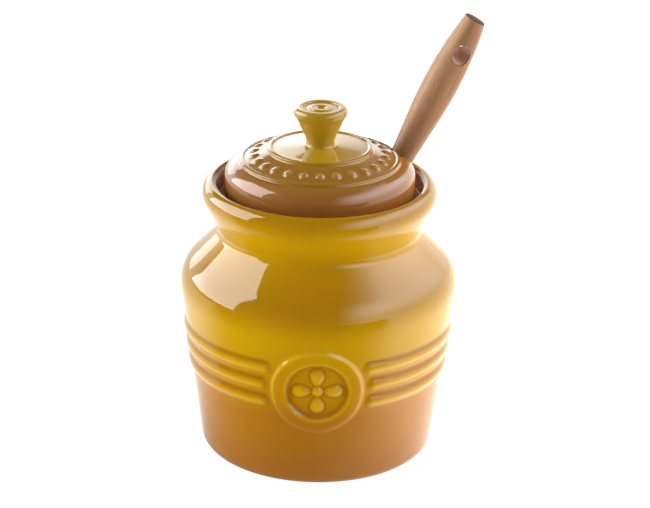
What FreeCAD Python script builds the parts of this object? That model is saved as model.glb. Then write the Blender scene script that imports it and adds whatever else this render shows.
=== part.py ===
"""Stoneware mustard pot with a lid and a turned beech spoon.

Millimetres. The pot stands on z = 0 with its axis on z, the medallion faces -y and the
spoon leans out over the rim. Every size is a cell of the sheet "sizes"; the outlines,
primitives and placements below are bound to those cells.
"""
import FreeCAD
import Part
import Sketcher
import os

os.makedirs("parts", exist_ok=True)

doc = FreeCAD.newDocument("mustard_pot")

# ---------------------------------------------------------------- sizes
SIZES = [
    # pot, outside
    ("base_radius", 43.1),
    ("base_round", 4.0),
    ("foot_radius", 31.0),
    ("foot_recess", 1.2),
    ("foot_round", 0.5),
    ("belly_radius", 51.9),
    ("belly_height", 69.2),
    ("belly_round", 13.0),
    ("neck_radius", 36.6),
    ("shoulder_rise", 15.3),
    ("neck_round", 3.0),
    ("rim_radius", 44.56),
    ("rim_rise", 15.54),
    ("rim_round", 7.5),
    ("crest_rise", 7.36),
    ("crest_round", 2.0),
    # pot, inside
    ("wall", 4.84),
    ("floor", 6.0),
    ("floor_round", 8.0),
    ("belly_drop", 1.8),
    ("inner_round", 8.2),
    ("throat_radius", 30.6),
    ("mouth_radius", 37.2),
    ("ledge_depth", 10.4),
    ("ledge_round", 0.8),
    ("lip_round", 1.0),
    # ribs and medallion
    ("rib_low", 34.4),
    ("rib_pitch", 7.0),
    ("rib_width", 5.0),
    ("rib_height", 1.2),
    ("rib_gap", 2.5),
    ("medallion_height", 40.2),
    ("medallion_radius", 17.35),
    ("medallion_band", 6.05),
    ("medallion_rise", 1.3),
    ("medallion_round", 1.1),
    ("petal_reach", 5.4),
    ("petal_long", 3.7),
    ("petal_wide", 2.7),
    ("petal_rise", 1.2),
    ("bloom_radius", 2.2),
    # lid
    ("lid_gap", 2.2),
    ("skirt_gap", 0.8),
    ("skirt_depth", 4.0),
    ("skirt_wall", 4.5),
    ("lid_shoulder", 12.6),
    ("lid_round", 5.0),
    ("lid_edge_radius", 29.4),
    ("lid_edge_height", 13.9),
    ("lid_step", 0.8),
    ("lid_step_width", 1.0),
    ("lid_ring_radius", 19.3),
    ("lid_ring_height", 18.2),
    ("lid_crown_height", 20.0),
    ("lid_shell", 4.8),
    ("bead_radius", 24.3),
    ("bead_long", 2.0),
    ("bead_wide", 1.2),
    ("bead_rise", 0.75),
    ("bead_count", 26),
    # knob of the lid
    ("stem_radius", 5.25),
    ("stem_rise", 2.6),
    ("stem_round", 1.0),
    ("flare_radius", 8.9),
    ("flare_rise", 10.5),
    ("knob_radius", 9.95),
    ("knob_rise", 14.5),
    ("knob_under", 1.3),
    ("knob_round", 1.5),
    ("cup_radius", 6.9),
    ("cup_depth", 0.6),
    ("button_radius", 4.2),
    ("button_rise", 0.4),
    ("dimple_radius", 1.95),
    # spoon
    ("spoon_length", 173.7),
    ("spoon_lean", 28.9),
    ("spoon_turn", 20.5),
    ("handle_end", 3.75),
    ("handle_end_round", 0.7),
    ("handle_curve", 139.0),
    ("handle_swell", 6.17),
    ("handle_swell_at", 37.0),
    ("handle_taper", 4.45),
    ("handle_taper_at", 58.0),
    ("handle_neck", 3.85),
    ("handle_neck_at", 66.0),
    ("handle_seat", 5.0),
    ("hole_radius", 3.2),
    ("hole_at", 12.4),
    ("bowl_half_length", 17.0),
    ("bowl_half_width", 10.5),
    ("bowl_half_thick", 3.5),
    ("scoop_depth", 3.2),
    ("tip_gap", 0.25),
    ("notch_gap", 0.8),
]

sheet = doc.addObject("Spreadsheet::Sheet", "sizes")
for row, (alias, value) in enumerate(SIZES, start=1):
    sheet.set(f"A{row}", alias)
    sheet.set(f"B{row}", str(value))
    sheet.setAlias(f"B{row}", alias)
doc.recompute()

# ---------------------------------------------------------------- shared formulas
SLOPE = "((sizes.belly_radius - sizes.base_radius) / sizes.belly_height)"
LEAN = f"atan({SLOPE})"
NECK_Z = "(sizes.belly_height + sizes.shoulder_rise)"
RIM_Z = f"({NECK_Z} + sizes.rim_rise)"
CREST_Z = f"({RIM_Z} + sizes.crest_rise)"
LEDGE_Z = f"({CREST_Z} - sizes.ledge_depth)"
INNER_Z = "(sizes.belly_height - sizes.belly_drop)"
SKIRT_R = "(sizes.throat_radius - sizes.skirt_gap)"
LID_R = "(sizes.mouth_radius - sizes.lid_gap)"
CROWN_Z = f"({LEDGE_Z} + sizes.lid_crown_height)"
KNOB_Z = f"({CROWN_Z} + sizes.knob_rise)"
BOWL_Z = ("(sizes.floor + sizes.tip_gap + sqrt((sizes.bowl_half_length * cos(sizes.spoon_lean))^2"
          " + (sizes.bowl_half_width * sin(sizes.spoon_lean))^2))")
BOWL_R = (f"(sizes.throat_radius - sizes.handle_seat"
          f" - ({LEDGE_Z} - {BOWL_Z}) * tan(sizes.spoon_lean))")
TIP_R = f"({BOWL_R} - sizes.bowl_half_length * sin(sizes.spoon_lean))"
TIP_Z = f"({BOWL_Z} - sizes.bowl_half_length * cos(sizes.spoon_lean))"


def wall_radius(height):
    """Formula of the outside radius of the lower wall at a height."""
    return f"(sizes.base_radius + {SLOPE} * ({height}))"


def value(formula):
    """Number that a formula of the sizes gives."""
    return float(sheet.evalExpression(formula))


def bind(item, **formulas):
    """Binds properties of an item, written with __ for a dot, to formulas."""
    for name, formula in formulas.items():
        item.setExpression(name.replace("__", "."), str(formula))
    return item


# ---------------------------------------------------------------- outlines
def outline(body, name, corners, curved=None):
    """Closed outline on the xz plane of a body, through corners (radius, height).

    A corner is a pair of formulas; "0" keeps it on an axis. The curved side, if there
    is one, is (index of its first corner, formula of its radius).
    """
    sketch = body.newObject("Sketcher::SketchObject", name)
    sketch.AttachmentSupport = [(body.Origin.OriginFeatures[4], "")]
    sketch.MapMode = "FlatFace"
    spots = [FreeCAD.Vector(value(r), value(z), 0) for r, z in corners]
    count = len(spots)
    for k in range(count):
        start = spots[k]
        end = spots[(k + 1) % count]
        if curved and curved[0] == k:
            radius = value(curved[1])
            chord = end - start
            inward = FreeCAD.Vector(-chord.y, chord.x, 0).normalize()
            centre = (start + end) * 0.5 + inward * (radius ** 2 - chord.Length ** 2 / 4) ** 0.5
            circle = Part.Circle(centre, FreeCAD.Vector(0, 0, 1), radius)
            arc = Part.ArcOfCircle(circle, circle.parameter(start), circle.parameter(end))
            sketch.addGeometry(arc, False)
        else:
            sketch.addGeometry(Part.LineSegment(start, end), False)
    for k, (r, z) in enumerate(corners):
        sketch.addConstraint(Sketcher.Constraint("Coincident", (k - 1) % count, 2, k, 1))
        for kind, formula, axis, place in (("DistanceX", r, -2, spots[k].x),
                                           ("DistanceY", z, -1, spots[k].y)):
            if formula == "0":
                sketch.addConstraint(Sketcher.Constraint("PointOnObject", k, 1, axis))
                continue
            number = sketch.addConstraint(Sketcher.Constraint(kind, -1, 1, k, 1, place))
            sketch.renameConstraint(number, f"{kind}_{k}")
            sketch.setExpression(f"Constraints.{kind}_{k}", formula)
    if curved:
        radius = value(curved[1])
        number = sketch.addConstraint(Sketcher.Constraint("Radius", curved[0], radius))
        sketch.renameConstraint(number, "curve")
        sketch.setExpression("Constraints.curve", curved[1])
    doc.recompute()
    return sketch


def turned(body, name, sketch):
    """Turns an outline once round the axis of the body."""
    solid = body.newObject("PartDesign::Revolution", name)
    solid.Profile = sketch
    solid.ReferenceAxis = (sketch, ["V_Axis"])
    solid.Angle = 360
    sketch.Visibility = False
    doc.recompute()
    return solid


def rounded(body, base, name, size, corners):
    """Rounds the turned edges of a body that run through corners (radius, height)."""
    wanted = [(value(r), value(z)) for r, z in corners]
    edges = []
    for number, edge in enumerate(base.Shape.Edges, start=1):
        if edge.Curve.TypeId != "Part::GeomCircle":
            continue
        spot = (edge.Curve.Radius, edge.Curve.Center.z)
        if any(abs(spot[0] - r) < 0.02 and abs(spot[1] - z) < 0.02 for r, z in wanted):
            edges.append(f"Edge{number}")
    if len(edges) < len(wanted):
        raise RuntimeError(f"{name}: {len(edges)} of {len(wanted)} edges found")
    fillet = body.newObject("PartDesign::Fillet", name)
    fillet.Base = (base, edges)
    fillet.setExpression("Radius", size)
    doc.recompute()
    return fillet


def new_body(name):
    return doc.addObject("PartDesign::Body", name)


# ---------------------------------------------------------------- pot
# The outside: a flaring wall, a round belly, a 45 degree shoulder and an open rim.
base = ("sizes.base_radius", "0")
belly = ("sizes.belly_radius", "sizes.belly_height")
neck = ("sizes.neck_radius", NECK_Z)
rim = ("sizes.rim_radius", RIM_Z)
crest = ("sizes.mouth_radius", CREST_Z)
foot = ("sizes.foot_radius", "0")
foot_top = ("sizes.foot_radius", "sizes.foot_recess")
outside = new_body("pot_outside")
shape = turned(outside, "pot_turned", outline(outside, "pot_outline", [
    ("0", "sizes.foot_recess"), foot_top, foot, base, belly, neck, rim, crest, ("0", CREST_Z)]))
shape = rounded(outside, shape, "pot_belly_round", "sizes.belly_round", [belly])
shape = rounded(outside, shape, "pot_rim_round", "sizes.rim_round", [rim])
shape = rounded(outside, shape, "pot_neck_round", "sizes.neck_round", [neck])
shape = rounded(outside, shape, "pot_base_round", "sizes.base_round", [base])
shape = rounded(outside, shape, "pot_foot_round", "sizes.foot_round", [foot])

# The inside: floor, belly, straight throat, ledge for the lid and mouth.
inner_floor = (f"{wall_radius('sizes.floor')} - sizes.wall", "sizes.floor")
inner_belly = (f"{wall_radius(INNER_Z)} - sizes.wall", INNER_Z)
shoulder_slope = "(sizes.shoulder_rise / (sizes.belly_radius - sizes.neck_radius))"
throat_low = ("sizes.throat_radius",
              f"{INNER_Z} + ({inner_belly[0]} - sizes.throat_radius) * {shoulder_slope}")
lip = ("sizes.throat_radius", LEDGE_Z)
ledge = ("sizes.mouth_radius", LEDGE_Z)
hollow = new_body("pot_hollow")
space = turned(hollow, "hollow_turned", outline(hollow, "hollow_outline", [
    ("0", "sizes.floor"), inner_floor, inner_belly, throat_low, lip, ledge,
    ("sizes.mouth_radius", f"{CREST_Z} + 5"), ("0", f"{CREST_Z} + 5")]))
space = rounded(hollow, space, "hollow_floor_round", "sizes.floor_round", [inner_floor])
space = rounded(hollow, space, "hollow_belly_round", "sizes.inner_round", [inner_belly])
space = rounded(hollow, space, "hollow_ledge_round", "sizes.ledge_round", [ledge])
space = rounded(hollow, space, "hollow_lip_round", "sizes.lip_round", [lip])

# Drums square to the wall at the medallion, from inside the wall outwards.
depth = "(sizes.wall * 2)"
medal_r = wall_radius("sizes.medallion_height")


def medallion_drum(name, radius):
    """Drum of a radius round the middle of the medallion."""
    drum = doc.addObject("Part::Cylinder", name)
    drum.Placement = FreeCAD.Placement(FreeCAD.Vector(), FreeCAD.Rotation(FreeCAD.Vector(1, 0, 0), 97))
    bind(drum, Radius=radius, Height=f"2 * {depth}", Placement__Rotation__Angle=f"90 deg + {LEAN}")
    bind(drum, Placement__Base__y=f"-({medal_r} - {depth} * cos({LEAN}))")
    bind(drum, Placement__Base__z=f"sizes.medallion_height + {depth} * sin({LEAN})")
    return drum


# Three round-topped ribs run round the wall and stop on both sides of the medallion.
rings = []
bump = "((sizes.rib_width^2 / 4 + sizes.rib_height^2) / (2 * sizes.rib_height))"
for k in range(3):
    height = f"(sizes.rib_low + {k} * sizes.rib_pitch)"
    ring = doc.addObject("Part::Torus", f"rib_ring_{k + 1}")
    ring.Placement = FreeCAD.Placement(FreeCAD.Vector(), FreeCAD.Rotation(FreeCAD.Vector(0, 0, 1), 90))
    bind(ring, Radius1=f"{wall_radius(height)} + sizes.rib_height - {bump}", Radius2=bump)
    bind(ring, Placement__Base__z=height)
    rings.append(ring)
all_rings = doc.addObject("Part::MultiFuse", "rib_rings")
all_rings.Shapes = rings
ribs = doc.addObject("Part::Cut", "ribs")
ribs.Base = all_rings
ribs.Tool = medallion_drum("rib_stop", "sizes.medallion_radius + sizes.rib_gap")
doc.recompute()
relief = [ribs]

# The medallion: a broad round-edged band that follows the wall.
band = doc.addObject("Part::Cut", "medallion_tube")
band.Base = medallion_drum("medallion_outer", "sizes.medallion_radius")
band.Tool = medallion_drum("medallion_inner", "sizes.medallion_radius - sizes.medallion_band")
skin = doc.addObject("Part::Cone", "medallion_skin")
bind(skin, Radius1=f"{wall_radius('0')} + sizes.medallion_rise", Height="sizes.belly_height",
     Radius2="sizes.belly_radius + sizes.medallion_rise")
raised = doc.addObject("Part::MultiCommon", "medallion_band_square")
raised.Shapes = [band, skin]
doc.recompute()
soft = doc.addObject("Part::Fillet", "medallion_band")
soft.Base = raised
front = []
for number, edge in enumerate(raised.Shape.Edges, start=1):
    middle = edge.valueAt((edge.FirstParameter + edge.LastParameter) / 2)
    outside_radius = (middle.x ** 2 + middle.y ** 2) ** 0.5
    on_skin = abs(outside_radius - value(wall_radius(str(middle.z))) - value("sizes.medallion_rise"))
    if on_skin < 0.01 and edge.Length > 5:
        front.append((number, value("sizes.medallion_round"), value("sizes.medallion_round")))
soft.Edges = front
relief.append(soft)

# A plain four-petal bloom stands in the dish of the medallion.
for k, (across, up) in enumerate(((1, 0), (0, 1), (-1, 0), (0, -1))):
    petal = doc.addObject("Part::Ellipsoid", f"petal_{k + 1}")
    petal.Placement = FreeCAD.Placement(FreeCAD.Vector(), FreeCAD.Rotation(FreeCAD.Vector(1, 0, 0), 97))
    petal_z = f"(sizes.medallion_height + {up} * sizes.petal_reach * cos({LEAN}))"
    petal_x = f"({across} * sizes.petal_reach)"
    bind(petal, Angle1="-90", Angle2="90", Angle3="360", Radius1="sizes.petal_rise")
    bind(petal, Radius2="sizes.petal_long" if across else "sizes.petal_wide")
    bind(petal, Radius3="sizes.petal_wide" if across else "sizes.petal_long")
    bind(petal, Placement__Rotation__Angle=f"90 deg + {LEAN}", Placement__Base__x=petal_x)
    bind(petal, Placement__Base__y=f"-sqrt({wall_radius(petal_z)}^2 - {petal_x}^2)")
    bind(petal, Placement__Base__z=petal_z)
    relief.append(petal)
bloom = doc.addObject("Part::Sphere", "bloom_centre")
bloom.Placement = FreeCAD.Placement(FreeCAD.Vector(), FreeCAD.Rotation(FreeCAD.Vector(1, 0, 0), 97))
bind(bloom, Radius="sizes.bloom_radius", Placement__Base__y=f"-{medal_r} + 0.3 * sizes.bloom_radius",
     Placement__Base__z="sizes.medallion_height")
relief.append(bloom)

pot_full = doc.addObject("Part::MultiFuse", "pot_full")
pot_full.Shapes = [outside] + relief
pot = doc.addObject("Part::Cut", "pot")
pot.Base = pot_full
pot.Tool = hollow
doc.recompute()

# ---------------------------------------------------------------- lid
# The cover lies on the ledge; its skirt enters the throat; the knob is one with it.
above = f"{LEDGE_Z} + "
lid_foot = (LID_R, LEDGE_Z)
lid_shoulder = (LID_R, above + "sizes.lid_shoulder")
step_low = ("sizes.lid_edge_radius", above + "sizes.lid_edge_height")
step_top = ("sizes.lid_edge_radius", above + "sizes.lid_edge_height + sizes.lid_step")
step_in = ("sizes.lid_edge_radius - sizes.lid_step_width",
           above + "sizes.lid_edge_height + sizes.lid_step + 0.3")
ring_low = ("sizes.lid_ring_radius", above + "sizes.lid_ring_height")
ring_top = ("sizes.lid_ring_radius - 0.2", above + "sizes.lid_ring_height + sizes.lid_step")
ring_in = ("sizes.lid_ring_radius - sizes.lid_step_width - 0.3", above + "sizes.lid_crown_height - 0.6")
stem_foot = ("sizes.stem_radius", CROWN_Z)
stem_top = ("sizes.stem_radius", f"{CROWN_Z} + sizes.stem_rise")
flare = ("sizes.flare_radius", f"{CROWN_Z} + sizes.flare_rise")
knob_low = ("sizes.knob_radius", f"{CROWN_Z} + sizes.flare_rise + sizes.knob_under")
knob_top = ("sizes.knob_radius", KNOB_Z)
cup = ("sizes.cup_radius", KNOB_Z)
cup_low = ("sizes.cup_radius", f"{KNOB_Z} - sizes.cup_depth")
button_low = ("sizes.button_radius", f"{KNOB_Z} - sizes.cup_depth")
button = ("sizes.button_radius", f"{KNOB_Z} - sizes.cup_depth + sizes.button_rise")
dimple = ("sizes.dimple_radius", f"{KNOB_Z} - sizes.cup_depth + sizes.button_rise")
dimple_low = ("sizes.dimple_radius - 0.5", f"{KNOB_Z} - sizes.cup_depth - 0.2")
skirt_top = (SKIRT_R, LEDGE_Z)
skirt_out = (SKIRT_R, f"{LEDGE_Z} - sizes.skirt_depth")
skirt_in = (f"{SKIRT_R} - sizes.skirt_wall", f"{LEDGE_Z} - sizes.skirt_depth")
under_side = (f"{SKIRT_R} - sizes.skirt_wall", above + "sizes.lid_edge_height - sizes.lid_shell")
under_mid = ("sizes.lid_ring_radius - sizes.lid_shell",
             above + "sizes.lid_ring_height - sizes.lid_shell")
lid_body = new_body("lid_cover")
cover = turned(lid_body, "lid_turned", outline(lid_body, "lid_outline", [
    ("0", above + "sizes.lid_crown_height - sizes.lid_shell"), under_mid, under_side, skirt_in,
    skirt_out, skirt_top, lid_foot, lid_shoulder, step_low, step_top, step_in, ring_low, ring_top,
    ring_in, stem_foot, stem_top, flare, knob_low, knob_top, cup, cup_low, button_low, button,
    dimple, dimple_low, ("0", dimple_low[1])]))
cover = rounded(lid_body, cover, "lid_shoulder_round", "sizes.lid_round", [lid_shoulder])
cover = rounded(lid_body, cover, "lid_step_round", "sizes.lid_step * 0.5", [step_top, step_in])
cover = rounded(lid_body, cover, "lid_ring_round", "sizes.lid_step * 0.45", [ring_top, ring_in])
cover = rounded(lid_body, cover, "knob_foot_round", "sizes.stem_round", [stem_foot])
cover = rounded(lid_body, cover, "knob_stem_round", "sizes.stem_round * 6", [stem_top])
cover = rounded(lid_body, cover, "knob_top_round", "sizes.knob_round", [knob_top])
cover = rounded(lid_body, cover, "knob_under_round", "sizes.knob_under * 0.6", [knob_low])
cover = rounded(lid_body, cover, "knob_cup_round", "sizes.cup_depth * 0.5", [cup])
cover = rounded(lid_body, cover, "lid_skirt_round", "sizes.lip_round", [skirt_out, skirt_in])
cover = rounded(lid_body, cover, "lid_foot_round", "sizes.ledge_round", [lid_foot])
cover = rounded(lid_body, cover, "lid_under_round", "sizes.lid_shell", [under_side])

# Seed-like beads all the way round the sloping band of the lid.
fall = ("((sizes.lid_ring_height - sizes.lid_edge_height - sizes.lid_step - 0.3)"
        " / (sizes.lid_edge_radius - sizes.lid_step_width - sizes.lid_ring_radius))")
bead = lid_body.newObject("PartDesign::AdditiveEllipsoid", "bead")
bead.Placement = FreeCAD.Placement(FreeCAD.Vector(), FreeCAD.Rotation(FreeCAD.Vector(1, 0, 0), 18))
bind(bead, Radius1="sizes.bead_rise", Radius2="sizes.bead_wide", Radius3="sizes.bead_long")
bind(bead, Placement__Rotation__Angle=f"atan({fall})", Placement__Base__y="-sizes.bead_radius")
bind(bead, Placement__Base__z=f"{LEDGE_Z} + sizes.lid_ring_height"
                              f" - (sizes.bead_radius - sizes.lid_ring_radius) * {fall}")
doc.recompute()
beads = lid_body.newObject("PartDesign::PolarPattern", "beads")
beads.Originals = [bead]
beads.Axis = (lid_body.Origin.OriginFeatures[2], [""])
beads.Angle = 360
bind(beads, Occurrences="sizes.bead_count")
lid_body.Tip = beads
doc.recompute()


# ---------------------------------------------------------------- spoon
def lean_out(item):
    """Puts an item made upright, its foot at the origin, on the line of the spoon."""
    item.Placement = FreeCAD.Placement(FreeCAD.Vector(), FreeCAD.Rotation(FreeCAD.Vector(0, 1, 0), 20))
    bind(item, Placement__Rotation__Angle="sizes.spoon_lean")
    bind(item, Placement__Rotation__Axis__x="-sin(sizes.spoon_turn)")
    bind(item, Placement__Rotation__Axis__y="cos(sizes.spoon_turn)")
    bind(item, Placement__Base__x=f"{TIP_R} * cos(sizes.spoon_turn)")
    bind(item, Placement__Base__y=f"{TIP_R} * sin(sizes.spoon_turn)", Placement__Base__z=TIP_Z)


def turned_to_lean(item, angle=20):
    """Turns an item of the upright spoon into the plane in which the spoon leans."""
    item.Placement = FreeCAD.Placement(FreeCAD.Vector(), FreeCAD.Rotation(FreeCAD.Vector(0, 0, 1), angle))
    bind(item, Placement__Rotation__Angle="sizes.spoon_turn")
    return item


def from_end(distance):
    """Formula of the height at a distance from the free end of the handle."""
    return f"(sizes.spoon_length - sizes.{distance})"


spoon = new_body("spoon")
end = ("sizes.handle_end", "sizes.spoon_length")
taper = ("sizes.handle_taper", from_end("handle_taper_at"))
slim = ("sizes.handle_neck", from_end("handle_neck_at"))
slim_low = ("sizes.handle_neck", "sizes.bowl_half_length * 2.6")
tail = ("sizes.bowl_half_thick * 0.45", "sizes.bowl_half_length * 1.45")
wood = turned(spoon, "handle_turned", outline(spoon, "handle_outline", [
    ("0", tail[1]), tail, slim_low, slim, taper,
    ("sizes.handle_swell", from_end("handle_swell_at")), end, ("0", "sizes.spoon_length")],
    curved=(5, "sizes.handle_curve")))
wood = rounded(spoon, wood, "handle_end_soft", "sizes.handle_end_round", [end])
bowl = turned_to_lean(spoon.newObject("PartDesign::AdditiveEllipsoid", "bowl"))
bind(bowl, Radius1="sizes.bowl_half_length", Radius2="sizes.bowl_half_width",
     Radius3="sizes.bowl_half_thick", Placement__Base__z="sizes.bowl_half_length")
doc.recompute()
scoop = turned_to_lean(spoon.newObject("PartDesign::SubtractiveEllipsoid", "scoop"))
bind(scoop, Radius1="sizes.bowl_half_length * 0.78", Radius2="sizes.bowl_half_width * 0.78",
     Radius3="sizes.scoop_depth", Placement__Base__z="sizes.bowl_half_length * 0.95")
bind(scoop, Placement__Base__x="sizes.bowl_half_thick * sin(sizes.spoon_turn)",
     Placement__Base__y="-sizes.bowl_half_thick * cos(sizes.spoon_turn)")
doc.recompute()

# The hanging hole runs square to the plane in which the spoon leans.
hole = spoon.newObject("PartDesign::SubtractiveCylinder", "hanging_hole")
hole.Placement = FreeCAD.Placement(
    FreeCAD.Vector(), FreeCAD.Rotation(FreeCAD.Vector(0.9, 0.3, 0), 90))
bind(hole, Radius="sizes.hole_radius", Height="sizes.handle_neck * 8")
bind(hole, Placement__Rotation__Axis__x="cos(sizes.spoon_turn)",
     Placement__Rotation__Axis__y="sin(sizes.spoon_turn)")
bind(hole, Placement__Base__x="-sizes.handle_neck * 4 * sin(sizes.spoon_turn)",
     Placement__Base__y="sizes.handle_neck * 4 * cos(sizes.spoon_turn)",
     Placement__Base__z=from_end("hole_at"))
spoon.Tip = hole
lean_out(spoon)
doc.recompute()

# ---------------------------------------------------------------- notch of the lid
# A slanting slot, open outwards, runs along the line of the spoon.
notch = new_body("notch")
slot_half = "(sizes.handle_taper + 0.3 + sizes.notch_gap)"
slot = notch.newObject("PartDesign::AdditiveCylinder", "notch_round")
bind(slot, Radius=slot_half, Height="sizes.spoon_length")
doc.recompute()
way = turned_to_lean(notch.newObject("PartDesign::AdditiveBox", "notch_way"))
bind(way, Length="sizes.mouth_radius", Width=f"2 * {slot_half}", Height="sizes.spoon_length")
bind(way, Placement__Base__x=f"{slot_half} * sin(sizes.spoon_turn)",
     Placement__Base__y=f"-{slot_half} * cos(sizes.spoon_turn)")
lean_out(notch)
doc.recompute()
lid = doc.addObject("Part::Cut", "lid")
lid.Base = lid_body
lid.Tool = notch
doc.recompute()

# ---------------------------------------------------------------- checks and files
for item in doc.Objects:
    if "Invalid" in item.State or "Error" in item.State:
        raise RuntimeError(f"{item.Label}: {item.State}")

for node, item in (("pot", pot), ("lid", lid), ("spoon", spoon)):
    item.Label = node
    solid = item.Shape
    if solid.isNull() or not solid.isValid() or len(solid.Solids) != 1:
        raise RuntimeError(f"{node}: not one valid solid")
    solid.exportStep(f"parts/{node}.step")
    print(node, round(solid.Volume / 1000, 1), "cc", solid.BoundBox)
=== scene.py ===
"""Glazed mustard pot with a lid and a turned beech spoon, as visual pieces on the CAD frame."""
import math

import bmesh
import bpy
import numpy as np
from mathutils import Matrix, Vector


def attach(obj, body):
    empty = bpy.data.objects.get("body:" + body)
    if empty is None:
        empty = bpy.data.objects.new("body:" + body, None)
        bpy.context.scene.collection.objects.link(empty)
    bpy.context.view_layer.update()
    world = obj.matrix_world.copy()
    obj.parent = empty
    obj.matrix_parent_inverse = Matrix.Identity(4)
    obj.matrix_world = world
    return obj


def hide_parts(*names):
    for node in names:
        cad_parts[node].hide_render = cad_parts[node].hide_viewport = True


bl_info = {
    "name": "Mustard pot",
    "version": (1, 0, 0),
    "blender": (4, 5, 0),
    "location": "View3D > Sidebar > Pot",
    "description": "Builds a glazed stoneware mustard pot, its lid, its spoon and a studio",
    "category": "Add Mesh",
}

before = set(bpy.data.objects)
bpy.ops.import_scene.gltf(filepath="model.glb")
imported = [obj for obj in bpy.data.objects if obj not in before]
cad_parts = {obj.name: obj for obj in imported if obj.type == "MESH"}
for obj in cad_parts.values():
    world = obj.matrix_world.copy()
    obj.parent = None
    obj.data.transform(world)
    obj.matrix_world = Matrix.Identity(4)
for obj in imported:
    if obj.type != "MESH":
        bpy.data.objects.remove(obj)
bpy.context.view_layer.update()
MM = 0.001

# Sizes in millimetres that more than one function uses.
POT_FLOOR = 6
BOWL_LONG, BOWL_WIDE = 17.0, 10.5  # half length and half width of the spoon's bowl
END_PIVOT = 4.0  # the slanted free end turns about this line

RIB_COUNT = 3
MATT_LIGHT = (0.97, 1.08, 1.0)  # colour of the lamps that light matt surfaces


# -------- settings
def length(name, text, value):
    """Float property in metres, given in millimetres."""
    return bpy.props.FloatProperty(name=name, description=text, default=value * MM,
                                   unit="LENGTH", precision=5)


def tint(name, text, value):
    """Colour property, linear RGB."""
    return bpy.props.FloatVectorProperty(name=name, description=text, default=value,
                                         subtype="COLOR", size=3, min=0.0, max=1.0)


def number(name, text, value):
    """Plain float property."""
    return bpy.props.FloatProperty(name=name, description=text, default=value)


class PotSettings(bpy.types.PropertyGroup):
    """Sizes of the pot"""
    base_radius: length("Base radius", "Wall radius carried down to the table", 43.1)
    belly_radius: length("Belly corner", "Radius at which wall and shoulder would meet", 51.9)
    belly_height: length("Belly height", "Height at which wall and shoulder would meet", 69.2)
    neck_radius: length("Neck radius", "Radius of the neck corner", 36.6)
    neck_height: length("Neck height", "Height of the neck corner", 84.5)
    rim_radius: length("Rim corner", "Radius of the rim's outer corner", 44.2)
    rim_height: length("Rim height", "Height of the rim's outer corner", 100.04)
    mouth_radius: length("Mouth radius", "Inside radius of the rim", 37.2)
    throat_radius: length("Throat radius", "Inside radius under the ledge", 30.6)
    ledge_height: length("Ledge height", "Height of the ledge that carries the lid", 97.0)
    wall: length("Wall", "Thickness of the lower wall", 4.84)
    rib_low: length("Lowest rib", "Height of the lowest rib", 34.4)
    rib_pitch: length("Rib pitch", "Distance from rib to rib", 7.0)
    rib_width: length("Rib width", "Width of one rib with its soft sides", 6.4)
    rib_height: length("Rib height", "How far a rib stands out", 1.0)
    medallion_height: length("Medallion height", "Height of its middle", 40.2)
    medallion_radius: length("Medallion radius", "Outer radius of its band", 17.35)
    medallion_band: length("Medallion band", "Width of the raised band", 6.05)
    medallion_rise: length("Medallion rise", "How far the band stands out", 1.35)


class LidSettings(bpy.types.PropertyGroup):
    """Sizes of the lid"""
    radius: length("Lid radius", "Outer radius of the cover", 35.0)
    skirt_radius: length("Skirt radius", "Outer radius of the ring under the cover", 29.8)
    edge_radius: length("Step radius", "Radius of the step at the band's outer edge", 29.4)
    ring_radius: length("Ring radius", "Radius of the ring round the crown", 19.3)
    bead_radius: length("Bead circle", "Radius on which the beads lie", 24.3)
    bead_count: bpy.props.IntProperty(name="Beads", description="Number of beads", default=26)
    bead_rise: length("Bead rise", "How far a bead stands out", 0.8)
    stem_radius: length("Stem radius", "Radius of the knob's stem", 5.25)
    knob_radius: length("Knob radius", "Largest radius of the knob", 9.95)


class SpoonSettings(bpy.types.PropertyGroup):
    """Sizes and place of the spoon"""
    full_length: length("Length", "Length from the bowl's tip to the free end", 174.2)
    lean: number("Lean", "Tilt from upright, in degrees", 28.9)
    turn: number("Turn", "Direction of the lean, in degrees from the x axis", 20.5)
    seat: length("Seat", "Distance of the handle's axis from the throat at the ledge", 5.0)
    hole_radius: length("Hole radius", "Radius of the hanging hole", 3.35)
    hole_at: length("Hole place", "Distance of the hole's middle from the free end", 12.0)
    hole_tilt: number("Hole tilt", "Rise of the hole towards the back, in degrees", 25.0)
    hole_turn: number("Hole turn", "Turn of the hole about the handle, in degrees", -8.0)
    end_slant: number("End slant", "Slant of the free end towards the front, in degrees", 8.0)


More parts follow.
